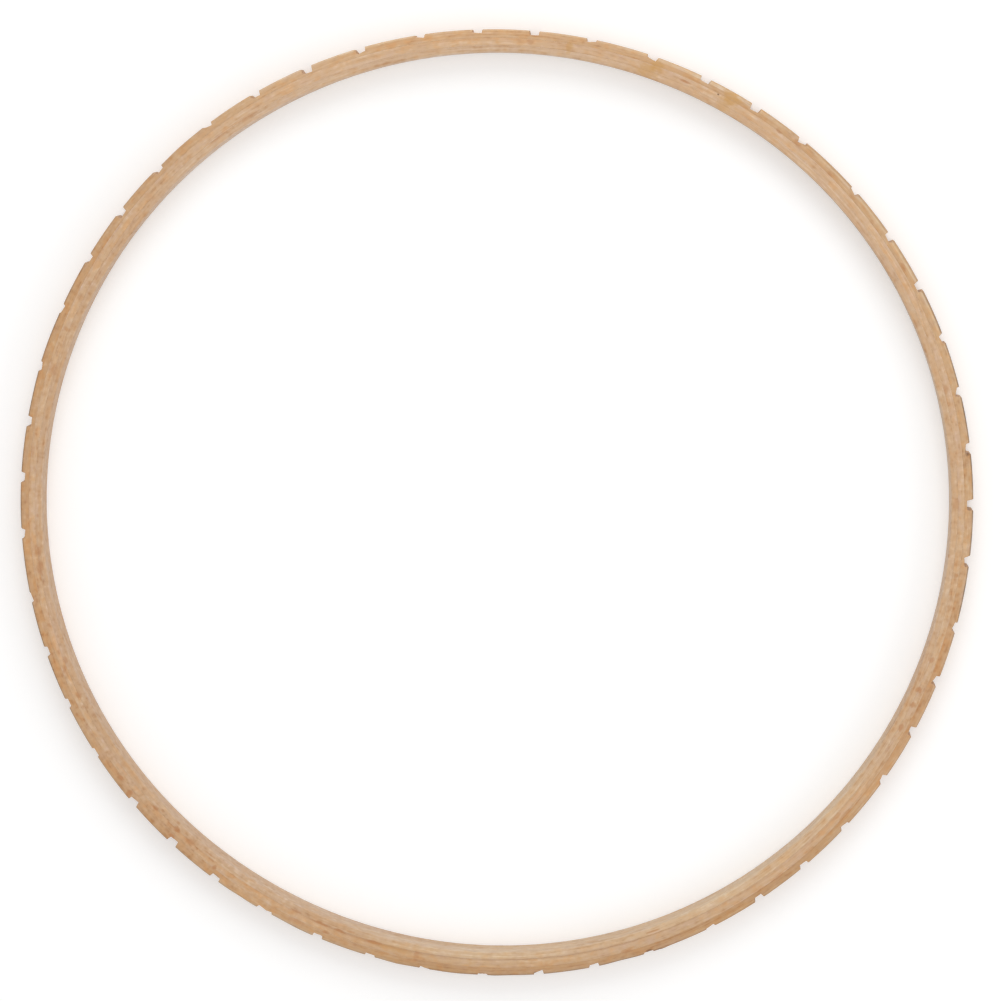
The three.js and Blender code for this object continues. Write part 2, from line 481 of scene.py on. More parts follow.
strips = {
    "outer": Strip(
        0,
        rim_radius,
        lambda angle: outer_seam(angle) + outer_gap(angle) / 2,
        rim_edge,
        SEAM_EDGE,
    ),
    "middle": Strip(
        1,
        lambda angle: outer_seam(angle) - outer_gap(angle) / 2,
        lambda angle: inner_seam(angle) + inner_gap(angle) / 2,
        seam_edge,
        SEAM_EDGE,
    ),
    "inner": Strip(
        2,
        lambda angle: inner_seam(angle) - inner_gap(angle) / 2,
        lambda angle: BORE,
        seam_edge,
        BORE_ROUND,
    ),
}


def film_columns(seam, gap):
    """Columns of the glue film that fills a seam."""
    result = []
    for angle in even_angles:
        reach = gap(angle) / 2 - FILM_CLEARANCE
        result.append((angle, film_section(seam(angle) - reach, seam(angle) + reach)))
    return result


# Materials

# Sockets of the two colours and of the result of a mix node
MIX_FIRST = 6
MIX_SECOND = 7
MIX_RESULT = 2
# Share of its reach up to which a mask along a circle is full
NEAR_FULL = 0.2


def colour(red, green, blue):
    """A colour as the photograph's pixels give it, as linear light."""
    def linear(value):
        value /= 255
        return value / 12.92 if value <= 0.04045 else ((value + 0.055) / 1.055) ** 2.4
    return (linear(red), linear(green), linear(blue), 1)


class Graph:
    """The nodes of a material or a world, and short calls that add to them."""

    def __init__(self, owner):
        self.owner = owner
        self.owner.use_nodes = True
        self.nodes = self.owner.node_tree.nodes
        self.links = self.owner.node_tree.links
        self.nodes.clear()

    def add(self, kind, inputs=None, **settings):
        node = self.nodes.new(kind)
        for name, value in settings.items():
            setattr(node, name, value)
        for name, value in (inputs or {}).items():
            self.put(node.inputs[name], value)
        return node

    def put(self, socket, value):
        if isinstance(value, bpy.types.NodeSocket):
            self.links.new(value, socket)
        else:
            socket.default_value = value

    def math(self, operation, *values):
        inputs = dict(enumerate(values))
        return self.add("ShaderNodeMath", inputs, operation=operation).outputs[0]

    def vector(self, operation, *values):
        node = self.add("ShaderNodeVectorMath", dict(enumerate(values)), operation=operation)
        return node.outputs["Value" if operation in ("LENGTH", "DOT_PRODUCT") else "Vector"]

    def scaled(self, vector, scale):
        inputs = {0: vector, "Scale": scale}
        return self.add("ShaderNodeVectorMath", inputs, operation="SCALE").outputs["Vector"]

    def joined(self, x, y, z):
        return self.add("ShaderNodeCombineXYZ", {0: x, 1: y, 2: z}).outputs[0]

    def ramp(self, value, low, high, start=0.0, end=1.0):
        """From start to end, smoothly, as a value goes from low to high."""
        inputs = {"Value": value, 1: low, 2: high, 3: start, 4: end}
        return self.add("ShaderNodeMapRange", inputs, interpolation_type="SMOOTHSTEP").outputs[0]

    def mix(self, share, first, second, blend="MIX"):
        node = self.add("ShaderNodeMix", data_type="RGBA", blend_type=blend)
        self.put(node.inputs[0], share)
        self.put(node.inputs[MIX_FIRST], first)
        self.put(node.inputs[MIX_SECOND], second)
        return node.outputs[MIX_RESULT]

    def finish(self, shader, kind="ShaderNodeOutputMaterial"):
        output = self.add(kind)
        self.links.new(shader, output.inputs["Surface"])
        return self.owner


class Grain:
    """Coordinates that follow the bent grain of a strip round the hoop without a seam."""

    def __init__(self, graph, seed):
        self.graph = graph
        self.seed = seed
        self.position = graph.add("ShaderNodeTexCoord").outputs["Object"]
        split = graph.add("ShaderNodeSeparateXYZ", {0: self.position}).outputs
        self.height = split["Z"]
        flat = graph.joined(split["X"], split["Y"], 0.0)
        self.radius = graph.vector("LENGTH", flat)
        self.heading = graph.vector("NORMALIZE", flat)

    def stretched(self, length, width):
        """Place in a pattern whose cells have that length along the grain and that radial width."""
        graph = self.graph
        along = graph.scaled(self.heading, RIM / length)
        across = graph.math("DIVIDE", self.radius, width * MM)
        return graph.vector("ADD", along, graph.joined(0.0, 0.0, across))

    def depth(self, height):
        """Fourth coordinate of a pattern, from the height in the strip."""
        return self.graph.math("MULTIPLY_ADD", self.height, 1 / (height * MM), self.seed)

    def noise(self, length, width, height, detail=2.0, roughness=0.5, shift=0.0):
        inputs = {
            "Vector": self.stretched(length, width),
            "W": self.graph.math("ADD", self.depth(height), shift),
            "Scale": 1.0,
            "Detail": detail,
            "Roughness": roughness,
        }
        return self.graph.add("ShaderNodeTexNoise", inputs, noise_dimensions="4D").outputs[0]

    def cells(self, length, width, height, shift=0.0):
        inputs = {
            "Vector": self.stretched(length, width),
            "W": self.graph.math("ADD", self.depth(height), shift),
            "Scale": 1.0,
        }
        return self.graph.add("ShaderNodeTexVoronoi", inputs, voronoi_dimensions="4D").outputs

    def arc(self, middle, reach):
        """1 along a stretch of the hoop, fading to 0 at its ends, which are that many degrees off."""
        toward = (math.cos(middle * DEGREE), math.sin(middle * DEGREE), 0)
        facing = self.graph.vector("DOT_PRODUCT", self.heading, toward)
        return self.graph.ramp(facing, math.cos(reach * DEGREE), math.cos(reach * DEGREE / 2))

    def spot(self, angle, radius, length, width, ragged):
        """1 in the middle of a patch at that angle and radius, fading to 0 at its ragged edge."""
        graph = self.graph
        toward = Vector((math.cos(angle * DEGREE), math.sin(angle * DEGREE), 0))
        along = Vector((-toward.y, toward.x, 0))
        middle = toward * bent(radius, angle * DEGREE) * MM
        from_middle = graph.vector("SUBTRACT", self.position, tuple(middle))
        u = graph.vector("DOT_PRODUCT", from_middle, tuple(along / (length * MM / 2)))
        v = graph.vector("DOT_PRODUCT", from_middle, tuple(toward / (width * MM / 2)))
        off = graph.math("ADD", graph.math("MULTIPLY", u, u), graph.math("MULTIPLY", v, v))
        return graph.ramp(graph.math("ADD", off, ragged), 0.0, 1.0, 1.0, 0.0)

    def near(self, radius, angle, reach):
        """1 along a circle of the even hoop, fading to 0 that far from it; true round that angle."""
        off = self.graph.math("SUBTRACT", self.radius, bent(radius, angle * DEGREE) * MM)
        off = self.graph.math("ABSOLUTE", off)
        return self.graph.ramp(off, NEAR_FULL * reach * MM, reach * MM, 1.0, 0.0)


# What every strip's wood shows: weight, length, radial width and height of a pattern, its detail,
# and whether it belongs to the growth rings, to the rays or to both
PATTERNS = (
    (0.30, 95, 1.3, 3.0, 2.0, "rings"),
    (0.58, 40, 0.5, 1.2, 3.0, "rings"),
    (0.52, 1.5, 2.2, 2.0, 1.5, "rays"),
    (0.43, 3.2, 0.9, 1.4, 1.5, "both"),
    (0.34, 8, 0.12, 0.25, 2.0, "both"),
    (0.24, 30, 6.0, 8.0, 1.0, "both"),
)
# The two of them that give the surface its relief, by their order
FINE_PATTERN = 4
RING_PATTERN = 1
PATTERN_ROUGHNESS = 0.55
PATTERN_SHIFT = 7.0
# Stretches where rings show more than rays: angle and reach in degrees, with the share of the ring
# patterns elsewhere and of the ray patterns there
RING_STRETCHES = ((80, 68), (290, 58))
RINGS_ELSEWHERE = 0.35
RAYS_AMONG_RINGS = 0.4
# Ray flecks: the stretches where they crowd, the length, radial width, height and place in the noise
# of their cells, and the levels between which a fleck fades and a cell is picked
FLECK_ZONES = ((212, 38), (345, 20))
SEAM_FLECKS = (222, 40)
SEAM_FLECK_REACH = 1.2
FLECK_CELLS = (2.2, 1.4, 1.6, 31.0)
FLECK_FADE = (0.1, 0.5)
FLECK_PICK = (0.9, 1.1)
FLECK_FRAY = 0.3
FLECK_CROWDING = 0.22
FLECK_SHARE = 0.7
# Fine dark dashes, in the same terms
DASH_CELLS = (2.4, 0.17, 0.24, 43.0)
DASH_FADE = (0.12, 0.5)
DASH_PICK = (0.4, 0.9)
DASH_SHARE = 0.6
DASH_CAST = (0.66, 0.61, 0.55, 1)
# Tones of single marks
OCHRE = colour(198, 152, 92)
RUDDY = colour(184, 129, 84)
# Dark tone of knots, also used as painted shade in notch flanks
KNOT_AND_FLANK_SHADE = colour(120, 84, 58)
ROSE = colour(216, 187, 162)
# The noise that frays a mark's edge: length, radial width, height, detail, roughness and place
FRAYING = (1.6, 0.9, 1.2, 3.0, 0.6, 61.0)
MARK_FRAY = 2.4
# Depths below the top face at which a mark starts to fade, and is gone
MARK_DEPTHS = (1.5, 4.0)
# Single marks: angle, radius, length, width, share and tone
MARKS = (
    (50.0, 144.9, 26.0, 1.2, 0.35, ROSE),
    (106.0, 145.3, 24.0, 1.6, 0.35, ROSE),
    (180.0, 144.8, 14.0, 2.2, 0.35, ROSE),
    (197.0, 145.0, 20.0, 2.4, 0.4, ROSE),
    (321.0, 146.2, 20.0, 1.0, 0.3, ROSE),
    (60.2, 148.0, 8.0, 5.4, 0.8, OCHRE),
    (60.6, 144.6, 6.0, 6.0, 0.4, OCHRE),
    (69.9, 147.4, 5.4, 5.0, 0.7, OCHRE),
    (71.0, 145.0, 8.0, 6.4, 0.6, OCHRE),
    (80.8, 146.0, 2.4, 5.0, 0.5, OCHRE),
    (61.8, 147.0, 0.9, 0.7, 0.9, KNOT_AND_FLANK_SHADE),
    # The next two dark marks are painted shade in notch flanks seen in shadow
    (0.2, 148.9, 0.7, 1.8, 0.6, KNOT_AND_FLANK_SHADE),
    (7.0, 148.8, 2.4, 1.7, 0.85, KNOT_AND_FLANK_SHADE),
    (268.5, 149.2, 2.4, 0.5, 0.45, KNOT_AND_FLANK_SHADE),
    (275.0, 149.2, 1.2, 0.8, 0.8, KNOT_AND_FLANK_SHADE),
    (289.2, 149.3, 3.6, 1.3, 0.85, KNOT_AND_FLANK_SHADE),
    (290.3, 150.0, 3.6, 1.2, 0.85, KNOT_AND_FLANK_SHADE),
    # Painted shade in a notch flank seen in shadow
    (353.7, 149.0, 0.6, 1.2, 0.5, KNOT_AND_FLANK_SHADE),
    (0.9, 144.5, 4.0, 2.6, 0.45, RUDDY),
    (15.2, 145.5, 3.4, 2.6, 0.45, RUDDY),
    (31.0, 147.9, 3.6, 1.8, 0.5, RUDDY),
    (37.6, 148.0, 2.8, 1.6, 0.5, RUDDY),
    (41.4, 147.9, 3.0, 1.6, 0.45, RUDDY),
    (45.2, 147.8, 3.4, 1.4, 0.5, RUDDY),
    (50.6, 148.1, 3.2, 1.8, 0.5, RUDDY),
    (53.2, 147.5, 2.8, 1.2, 0.6, RUDDY),
    (66.1, 146.1, 4.8, 0.9, 0.75, RUDDY),
    (85.6, 146.4, 3.0, 2.0, 0.5, RUDDY),
    (122.0, 144.9, 9.0, 1.0, 0.4, RUDDY),
    (126.5, 144.8, 9.0, 0.9, 0.5, RUDDY),
    (138.0, 146.0, 3.0, 3.0, 0.35, RUDDY),
    (157.4, 145.6, 1.8, 2.6, 0.5, RUDDY),
    (162.7, 145.5, 4.4, 2.6, 0.5, RUDDY),
    (173.0, 146.7, 5.0, 1.6, 0.45, RUDDY),
    (185.6, 145.0, 4.6, 3.4, 0.65, RUDDY),
    (187.7, 145.0, 6.6, 2.9, 0.68, RUDDY),
    (199.9, 144.6, 3.4, 2.0, 0.5, RUDDY),
    (201.0, 146.1, 3.4, 1.6, 0.5, RUDDY),
    (204.5, 145.0, 2.6, 2.4, 0.5, RUDDY),
    (216.2, 147.4, 2.8, 1.5, 0.8, RUDDY),
    (218.3, 148.4, 2.2, 2.6, 0.8, RUDDY),
    (221.8, 145.0, 3.0, 1.9, 0.95, RUDDY),
    (225.6, 145.0, 3.0, 2.1, 0.95, RUDDY),
    (225.8, 147.8, 3.2, 2.0, 0.85, RUDDY),
    (227.9, 145.1, 4.8, 2.2, 0.65, RUDDY),
    (230.9, 144.1, 4.6, 0.8, 0.6, RUDDY),
    (232.3, 146.7, 1.8, 2.2, 0.8, RUDDY),
    (244.0, 144.8, 4.5, 1.0, 0.65, RUDDY),
    (244.6, 147.6, 6.0, 1.4, 0.45, RUDDY),
    (247.6, 145.1, 7.0, 1.4, 0.8, RUDDY),
    (248.4, 147.2, 3.0, 1.3, 0.75, RUDDY),
    (250.0, 145.2, 4.4, 1.3, 0.9, RUDDY),
    (251.4, 144.3, 3.2, 1.0, 0.5, RUDDY),
    (254.7, 145.3, 7.0, 1.3, 0.85, RUDDY),
    (257.0, 145.5, 16.0, 2.2, 0.3, OCHRE),
    (260.2, 146.2, 2.6, 3.8, 0.6, RUDDY),
    (286.4, 147.3, 4.6, 1.6, 0.5, RUDDY),
    (290.6, 144.6, 6.4, 0.8, 0.5, ROSE),
    (290.6, 144.1, 6.4, 0.7, 0.65, RUDDY),
    (307.5, 147.4, 6.0, 1.4, 0.4, RUDDY),
    (318.0, 145.6, 5.0, 1.6, 0.4, RUDDY),
    (319.0, 147.2, 7.0, 1.2, 0.4, RUDDY),
    (331.8, 145.5, 3.4, 2.1, 0.65, RUDDY),
    (335.0, 145.5, 2.4, 2.7, 0.65, RUDDY),
    (337.0, 145.3, 2.6, 2.7, 0.75, RUDDY),
    (341.1, 145.4, 2.4, 2.7, 0.65, RUDDY),
)
# Glue and dirt that darken the wood along the inner seam: angle, reach in degrees and share
SEAM_STAINS = ((265, 30, 0.14), (285, 44, 0.1))
STAIN_REACH = 0.55
SEAM_BROWN = colour(136, 80, 44)
# Patches of warmer and of cooler hue: length, radial width, height, place in the noise and strength
BLUSHES = ((3, 1.8, 2.2, 53.0, 0.85), (42, 2.8, 6.0, 71.0, 0.6))
WARM_LEVELS = (0.48, 0.7)
COOL_LEVELS = (0.3, 0.52)
ORANGE_CAST = (1.02, 0.93, 0.82, 1)
ROSY_CAST = (0.99, 1.0, 1.08, 1)
# End grain, by how far a surface faces along the hoop
END_GRAIN = colour(150, 108, 74)
END_GRAIN_LEVELS = (0.35, 0.85)
END_GRAIN_SHARE = 0.12
# How far up a surface faces where the rounded edge is in full
EDGE_LEVEL = 0.25
# Stretches of the rim's rounded edge with a painted highlight, paler where the rounding turns to the
# light: angle, reach, share and how far down the edge they start and end, from 0 at the face to 1 at the
# side
PAINTED_EDGE_HIGHLIGHTS = (
    (46, 32, 1.0, 0.0, 0.5), (84, 42, 0.75, 0.4, 1.0), (130, 24, 0.2, 0.0, 1.0),
    (218, 26, 0.2, 0.2, 1.0), (243, 18, 0.5, 0.0, 1.0), (315, 44, 0.55, 0.0, 1.0),
)
HIGHLIGHT_CAST = (1.1, 1.24, 1.42, 1)
HIGHLIGHT_FADE = 0.25
# Stretches of that edge with painted shade, darker where the rounding turns away from the light: angle,
# reach and share.
# Elsewhere it has a little painted shade, apart from the unshaded stretch.
SHADED_EDGE_STRETCHES = ((6, 28, 0.85), (178, 38, 0.6), (276, 20, 0.6))
UNSHADED_EDGE = (91, 51)
SLIGHT_EDGE_SHADE = 0.24
# Tone of the painted shade on the rim's edge
RIM_EDGE_SHADE = colour(118, 92, 68)
# The noise that breaks the painted shade up: length, radial width, height, detail, roughness and place,
# its levels with the shares of painted shade there, and how far out a shaded surface faces
EDGE_SHADE_PATCHES = (5, 0.8, 1.5, 3.0, 0.6, 83.0)
EDGE_SHADE_SHARES = (0.3, 0.7, 0.5, 1.3)
EDGE_SHADE_LEVELS = (0.4, 0.8)
# Painted light: the inner wall and the edge above it are paler and less warm than the face, apart from
# some stretches where it is weaker
WALL_LIGHT_CAST = (1.03, 1.11, 1.25, 1)
WALL_LEVELS = (-0.7, -0.1)
LESS_LIT_WALLS = ((240, 76, (0.965, 0.95, 0.925)), (314, 28, (0.96, 0.945, 0.915)))
# Sheen of the sanded wood, by the levels of the fine pattern, and its relief in metres
WOOD_ROUGHNESS = (0.35, 0.7, 0.52, 0.68)
WOOD_SPECULAR = 0.3
RING_RELIEF = 0.6
RELIEF_STRENGTH = 0.12
RELIEF_DEPTH = 0.0001
# Cured glue: place of its noise, the noise's length, radial width, height and detail, and the
# levels between which it turns from thin to thick
GLUE_SEED = 3.0
GLUE_NOISE = (12, 0.5, 2.0, 3.0)
GLUE_LEVELS = (0.3, 0.7)
THIN_GLUE = colour(166, 122, 84)
THICK_GLUE = colour(140, 98, 64)
GLUE_ROUGHNESS = (0.35, 0.55)


def widest(graph, masks):
    """The strongest of several masks."""
    result = 0.0
    for mask in masks:
        result = graph.math("MAXIMUM", mask, result)
    return result


def figure(graph, grain, tones):
    """Tone of the wood's rings and rays, and the layers of pattern that it comes from."""
    dark, main, pale = tones
    rings = widest(graph, [grain.arc(middle, spread) for middle, spread in RING_STRETCHES])
    shares = {
        "rings": graph.math("MULTIPLY_ADD", rings, 1 - RINGS_ELSEWHERE, RINGS_ELSEWHERE),
        "rays": graph.math("MULTIPLY_ADD", rings, RAYS_AMONG_RINGS - 1, 1.0),
    }
    value = 0.5
    layers = []
    for order, (weight, length, width, height, detail, kind) in enumerate(PATTERNS):
        shift = PATTERN_SHIFT * order
        layer = grain.noise(length, width, height, detail, PATTERN_ROUGHNESS, shift)
        layers.append(layer)
        strength = weight * 2
        if kind in shares:
            strength = graph.math("MULTIPLY", shares[kind], strength)
        value = graph.math("MULTIPLY_ADD", graph.math("SUBTRACT", layer, 0.5), strength, value)
    tone = graph.mix(graph.ramp(value, 0.5, 1.0), main, pale)
    tone = graph.mix(graph.ramp(value, 0.0, 0.5, 1.0, 0.0), tone, dark)
    return tone, layers


def flushed(graph, grain, tone, strength):
    """Warmer and cooler hues, in small patches and along the grain."""
    for length, width, height, shift, share in BLUSHES:
        most = share * strength
        blush = grain.noise(length, width, height, shift=shift)
        warm = graph.ramp(blush, *WARM_LEVELS, 0.0, most)
        tone = graph.mix(warm, tone, ORANGE_CAST, "MULTIPLY")
        cool = graph.ramp(blush, *COOL_LEVELS, most, 0.0)
        tone = graph.mix(cool, tone, ROSY_CAST, "MULTIPLY")
    return tone


def flecked(graph, grain, tone, fleck, ragged):
    """Ray flecks, crowded in some stretches and along part of the inner seam."""
    crowd = widest(graph, [grain.arc(middle, spread) for middle, spread in FLECK_ZONES])
    seam = grain.near(INNER_SEAM, SEAM_FLECKS[0], SEAM_FLECK_REACH)
    crowd = graph.math("ADD", crowd, graph.math("MULTIPLY", seam, grain.arc(*SEAM_FLECKS)))
    cells = grain.cells(*FLECK_CELLS)
    off = graph.math("MULTIPLY_ADD", ragged, FLECK_FRAY, cells["Distance"])
    lens = graph.ramp(off, *FLECK_FADE, 1.0, 0.0)
    chosen = graph.add("ShaderNodeSeparateColor", {0: cells["Color"]}).outputs[0]
    crowded = graph.math("MULTIPLY_ADD", crowd, FLECK_CROWDING, chosen)
    picked = graph.ramp(crowded, *FLECK_PICK)
    share = graph.math("MULTIPLY", graph.math("MULTIPLY", lens, picked), FLECK_SHARE)
    return graph.mix(share, tone, fleck)


def dashed(graph, grain, tone):
    """The fine dark dashes that the rays leave along the grain."""
    cells = grain.cells(*DASH_CELLS)
    lens = graph.ramp(cells["Distance"], *DASH_FADE, 1.0, 0.0)
    chosen = graph.add("ShaderNodeSeparateColor", {0: cells["Color"]}).outputs[1]
    share = graph.math("MULTIPLY", lens, graph.ramp(chosen, *DASH_PICK, 0.0, DASH_SHARE))
    return graph.mix(share, tone, DASH_CAST, "MULTIPLY")


def end_grain_and_painted_light(graph, grain, tone):
    """End grain in the notches, painted highlight and shade on the rim's edge, painted light on the
    inner wall.
    """
    shape = graph.add("ShaderNodeNewGeometry").outputs["Normal"]
    tangent = graph.vector("CROSS_PRODUCT", (0, 0, 1), grain.heading)
    across = graph.math("ABSOLUTE", graph.vector("DOT_PRODUCT", shape, tangent))
    cut = graph.ramp(across, *END_GRAIN_LEVELS, 0.0, END_GRAIN_SHARE)
    tone = graph.mix(cut, tone, END_GRAIN)
    outward = graph.vector("DOT_PRODUCT", shape, grain.heading)
    upright = graph.math("ABSOLUTE", graph.vector("DOT_PRODUCT", shape, (0, 0, 1)))
    edge = graph.ramp(upright, 0.0, EDGE_LEVEL)
    # Painted highlight on the rim's rounding where it turns to the light
    for middle, spread, most, start, end in PAINTED_EDGE_HIGHLIGHTS:
        begun = graph.ramp(outward, start, start + HIGHLIGHT_FADE, 0.0, most)
        going = graph.ramp(outward, end, end + HIGHLIGHT_FADE, 1.0, 0.0)
        painted_highlight = graph.math("MULTIPLY", graph.math("MULTIPLY", edge, begun), going)
        painted_highlight = graph.math("MULTIPLY", painted_highlight, grain.arc(middle, spread))
        tone = graph.mix(painted_highlight, tone, HIGHLIGHT_CAST, "MULTIPLY")
    # Painted shade on the outward-turned rounding of the rim
    edge_shade = graph.math("MULTIPLY_ADD", grain.arc(*UNSHADED_EDGE), -SLIGHT_EDGE_SHADE, SLIGHT_EDGE_SHADE)
    for middle, spread, most in SHADED_EDGE_STRETCHES:
        stretch = graph.math("MULTIPLY", grain.arc(middle, spread), most)
        edge_shade = graph.math("MAXIMUM", edge_shade, stretch)
    patches = graph.ramp(grain.noise(*EDGE_SHADE_PATCHES), *EDGE_SHADE_SHARES)
    edge_shade = graph.math("MULTIPLY", graph.math("MULTIPLY", edge_shade, patches), edge)
    edge_shade = graph.math("MULTIPLY", edge_shade, graph.ramp(outward, *EDGE_SHADE_LEVELS))
    tone = graph.mix(edge_shade, tone, RIM_EDGE_SHADE)
    # Painted light on the inward-facing wall
    wall = graph.ramp(outward, *WALL_LEVELS, 1.0, 0.0)
    tone = graph.mix(wall, tone, WALL_LIGHT_CAST, "MULTIPLY")
    # The warm stretches weaken the painted light on the wall
    for middle, spread, cast in LESS_LIT_WALLS:
        warm = graph.math("MULTIPLY", wall, grain.arc(middle, spread))
        tone = graph.mix(warm, tone, (*cast, 1), "MULTIPLY")
    return tone


def beech(name, span, tones, blush, seed, stretches):
    """Bare beech of a strip that spans two radii, with its dark, main, pale and fleck tone, the strength
    of its changes of hue, and stretches that have a cast of their own."""
    inside, outside = span
    fleck = tones[-1]
    graph = Graph(bpy.data.materials.new(name))
    grain = Grain(graph, seed)
    tone, layers = figure(graph, grain, tones[:-1])
    for middle, spread, cast in stretches:
        tone = graph.mix(grain.arc(middle, spread), tone, (*cast, 1), "MULTIPLY")
    tone = flushed(graph, grain, tone, blush)
    ragged = graph.math("SUBTRACT", grain.noise(*FRAYING), 0.5)
    tone = flecked(graph, grain, tone, fleck, ragged)
    tone = dashed(graph, grain, tone)
    for middle, spread, share in SEAM_STAINS:
        seam = grain.near(INNER_SEAM, middle, STAIN_REACH)
        stain = graph.math("MULTIPLY", seam, grain.arc(middle, spread))
        tone = graph.mix(graph.math("MULTIPLY", stain, share), tone, SEAM_BROWN)
    tone = end_grain_and_painted_light(graph, grain, tone)
    fray = graph.math("MULTIPLY", ragged, MARK_FRAY)
    full, gone = ((HEIGHT - depth) * MM for depth in MARK_DEPTHS)
    skin = graph.ramp(grain.height, gone, full)
    for angle, radius, length, width, share, other in MARKS:
        if radius + width / 2 < inside or radius - width / 2 > outside:
            continue
        mask = graph.math("MULTIPLY", grain.spot(angle, radius, length, width, fray), skin)
        tone = graph.mix(graph.math("MULTIPLY", mask, share), tone, other)
    fine = layers[FINE_PATTERN]
    rough = graph.ramp(fine, *WOOD_ROUGHNESS)
    relief = graph.math("MULTIPLY_ADD", layers[RING_PATTERN], RING_RELIEF, fine)
    height = {"Height": relief, "Strength": RELIEF_STRENGTH, "Distance": RELIEF_DEPTH}
    bump = graph.add("ShaderNodeBump", height)
    inputs = {
        "Base Color": tone,
        "Roughness": rough,
        "Normal": bump.outputs[0],
        "Specular IOR Level": WOOD_SPECULAR,
    }
    return graph.finish(graph.add("ShaderNodeBsdfPrincipled", inputs).outputs[0])


def glue_material():
    """Cured glue, darker where it lies thicker."""
    graph = Graph(bpy.data.materials.new("cured_glue"))
    grain = Grain(graph, GLUE_SEED)
    thick = grain.noise(*GLUE_NOISE)
    tone = graph.mix(graph.ramp(thick, *GLUE_LEVELS), THIN_GLUE, THICK_GLUE)
    rough = graph.ramp(thick, *GLUE_LEVELS, *GLUE_ROUGHNESS)
    inputs = {"Base Color": tone, "Roughness": rough}
    return graph.finish(graph.add("ShaderNodeBsdfPrincipled", inputs).outputs[0])


WOODS = {
    "outer": beech(
        "outer_beech_wood",
        span=(OUTER_SEAM, RIM),
        tones=(colour(176, 129, 86), colour(199, 160, 120), colour(213, 180, 143), colour(174, 121, 78)),
        blush=1.25,
        seed=2.0,
        stretches=(
            (12, 34, (1.03, 1.08, 1.13)),
            (94, 36, (1.08, 1.12, 1.17)),
            (160, 26, (0.98, 0.96, 0.93)),
            (52, 30, (0.985, 0.97, 0.945)),
            (225, 20, (0.99, 0.98, 0.97)),
            (285, 40, (0.92, 0.885, 0.82)),
            (316, 30, (0.99, 0.975, 0.95)),
            (342, 24, (0.98, 0.965, 0.96)),
        ),
    ),
    "middle": beech(
        "middle_beech_wood",
        span=(INNER_SEAM, OUTER_SEAM),
        tones=(colour(183, 137, 96), colour(205, 169, 132), colour(220, 190, 157), colour(180, 128, 84)),
        blush=1.25,
        seed=44.0,
        stretches=(
            (75, 70, (1.03, 1.04, 1.06)),
            (150, 36, (1.01, 1.025, 1.045)),
            (196, 34, (1.005, 1.02, 1.045)),
            (242, 26, (0.98, 0.97, 0.96)),
            (275, 30, (0.98, 0.985, 0.975)),
            (342, 24, (1.01, 1.03, 1.045)),
        ),
    ),
    "inner": beech(
        "inner_beech_wood",
        span=(BORE, INNER_SEAM),
        tones=(colour(181, 136, 96), colour(203, 167, 131), colour(218, 188, 155), colour(180, 128, 84)),
        blush=0.8,
        seed=80.0,
        stretches=(
            (8, 34, (1.0, 1.03, 1.06)),
            (228, 34, (0.98, 0.98, 0.98)),
            (293, 47, (1.09, 1.16, 1.19)),
            (105, 40, (1.02, 1.07, 1.14)),
            (180, 50, (0.97, 0.96, 0.95)),
        ),
    ),
}
GLUE = glue_material()


def dress(piece, material, node):
    """Give a piece its material, and let it stand for a node of the part."""
    piece.data.materials.append(material)
    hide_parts(node)


cut_angles = np.concatenate([angles for angles, _ in notches]) % TURN
rim_angles = np.unique(np.round(np.concatenate([even_angles, cut_angles]), ANGLE_DIGITS))
for name, strip in strips.items():
    base = rim_angles if name == "outer" else even_angles
    wood = swept(f"{name}_strip", strip.columns(base), False)
    dress(wood, WOODS[name], f"{name}_ply")
    film = swept(f"{name}_scarf_film", strip.scarf_columns(), False)
    dress(film, GLUE, f"{name}_scarf_glue")
for name, seam, gap in (("outer", outer_seam, outer_gap), ("inner", inner_seam, inner_gap)):
    film = swept(f"{name}_glue_film", film_columns(seam, gap), True)
    dress(film, GLUE, f"{name}_glue_line")


# Floor, light and camera

WHITE = (1, 1, 1, 1)
# Pale paper on the floor, in metres, that glows more away from the object so that it ends in white:
# two distances and the glow there
FLOOR_REACH = 6.0
FLOOR_DROP = 0.05 * MM
FLOOR_TONE = (0.85, 0.85, 0.85, 1)
FLOOR_GLOW = (0.3, 1.6, 0.24, 0.45)
WORLD_LIGHT = 0.7
# Square lamps: name, place, size and power
LAMPS = (
    ("top_lamp", (0.1, 1.1, 1.0), 0.9, 5.5),
    ("overhead_lamp", (0.0, 0.1, 2.2), 1.6, 3.5),
    ("right_lamp", (1.1, -0.2, 0.6), 0.8, 2.2),
)
# Camera that was fitted to the photograph: pixels, millimetres and angles from straight above
IMAGE_WIDTH = 1001
FOCAL_PIXELS = 3821
SENSOR_WIDTH = 36
CAMERA_DISTANCE = 1206.5
CAMERA_TILT = 7.27 * DEGREE
CAMERA_HEADING = 66.25 * DEGREE
AIM = (1.70, 2.01, 0)


def background_share(graph):
    """1 for what the camera sees, directly or in a reflection, and 0 for the light on the object."""
    path = graph.add("ShaderNodeLightPath").outputs
    seen = graph.math("MAXIMUM", path["Is Camera Ray"], path["Is Glossy Ray"])
    return graph.math("MAXIMUM", seen, path["Is Transmission Ray"])


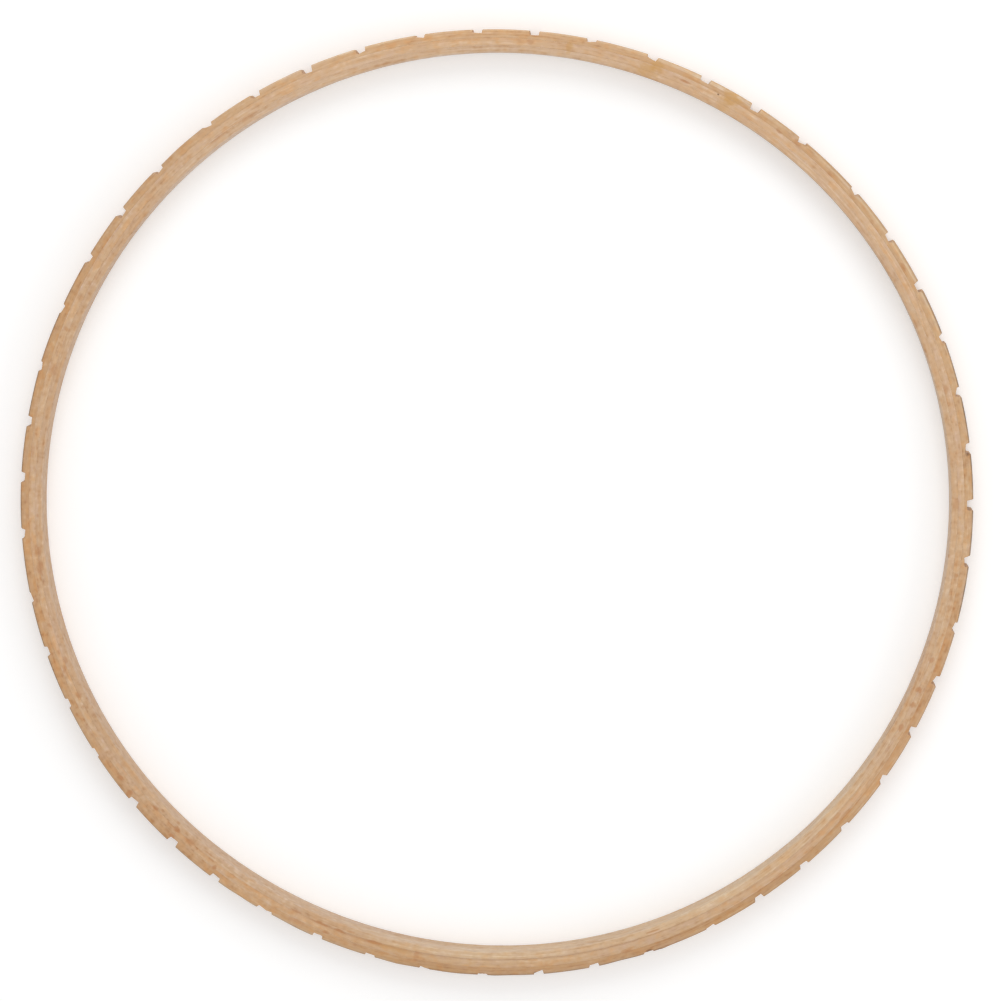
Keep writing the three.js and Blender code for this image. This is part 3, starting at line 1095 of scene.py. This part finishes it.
def make_floor():
    """Paper that takes the shadow and is white further off."""
    mesh = bpy.data.meshes.new("floor")
    signs = ((-1, -1), (1, -1), (1, 1), (-1, 1))
    corners = [(x * FLOOR_REACH, y * FLOOR_REACH, -FLOOR_DROP) for x, y in signs]
    mesh.from_pydata(corners, [], [(0, 1, 2, 3)])
    floor = bpy.data.objects.new("floor", mesh)
    bpy.context.scene.collection.objects.link(floor)
    graph = Graph(bpy.data.materials.new("floor_paper"))
    matt = graph.add("ShaderNodeBsdfDiffuse", {"Color": FLOOR_TONE}).outputs[0]
    distance = graph.vector("LENGTH", graph.add("ShaderNodeTexCoord").outputs["Object"])
    lift = graph.math("MULTIPLY", background_share(graph), graph.ramp(distance, *FLOOR_GLOW))
    glow = graph.add("ShaderNodeEmission", {"Color": WHITE, "Strength": lift}).outputs[0]
    both = graph.add("ShaderNodeAddShader", {0: matt, 1: glow}).outputs[0]
    mesh.materials.append(graph.finish(both))


def make_world():
    """White as a background, and a weaker white as the light on the object."""
    world = bpy.data.worlds.new("studio")
    bpy.context.scene.world = world
    graph = Graph(world)
    light = graph.math("MULTIPLY_ADD", background_share(graph), 1 - WORLD_LIGHT, WORLD_LIGHT)
    sky = graph.add("ShaderNodeBackground", {"Color": WHITE, "Strength": light}).outputs[0]
    graph.finish(sky, "ShaderNodeOutputWorld")


def make_lamp(name, place, size, power):
    """A square lamp that faces the middle of the hoop."""
    lamp = bpy.data.lights.new(name, "AREA")
    lamp.shape = "SQUARE"
    lamp.size = size
    lamp.energy = power
    holder = bpy.data.objects.new(name, lamp)
    holder.location = place
    holder.rotation_euler = (-Vector(place)).to_track_quat("-Z", "Y").to_euler()
    bpy.context.scene.collection.objects.link(holder)


def make_camera():
    """The camera that took the photograph, upright with its top towards +Y."""
    centre = Vector((0, 0, HEIGHT / 2))
    lean = Vector((math.cos(CAMERA_HEADING), math.sin(CAMERA_HEADING), 0)) * math.sin(CAMERA_TILT)
    place = centre + (lean + Vector((0, 0, math.cos(CAMERA_TILT)))) * CAMERA_DISTANCE
    target = centre + Vector(AIM)
    back = (place - target).normalized()
    right = Vector((0, 1, 0)).cross(back).normalized()
    up = back.cross(right)
    lens = bpy.data.cameras.new("camera")
    lens.sensor_width = SENSOR_WIDTH
    lens.lens = SENSOR_WIDTH * FOCAL_PIXELS / IMAGE_WIDTH
    camera = bpy.data.objects.new("camera", lens)
    turn = Matrix((right, up, back)).transposed().to_4x4()
    camera.matrix_world = Matrix.Translation(place * MM) @ turn
    bpy.context.scene.collection.objects.link(camera)
    bpy.context.scene.camera = camera


make_floor()
make_world()
for lamp in LAMPS:
    make_lamp(*lamp)
make_camera()
bpy.context.scene.view_settings.view_transform = "Standard"
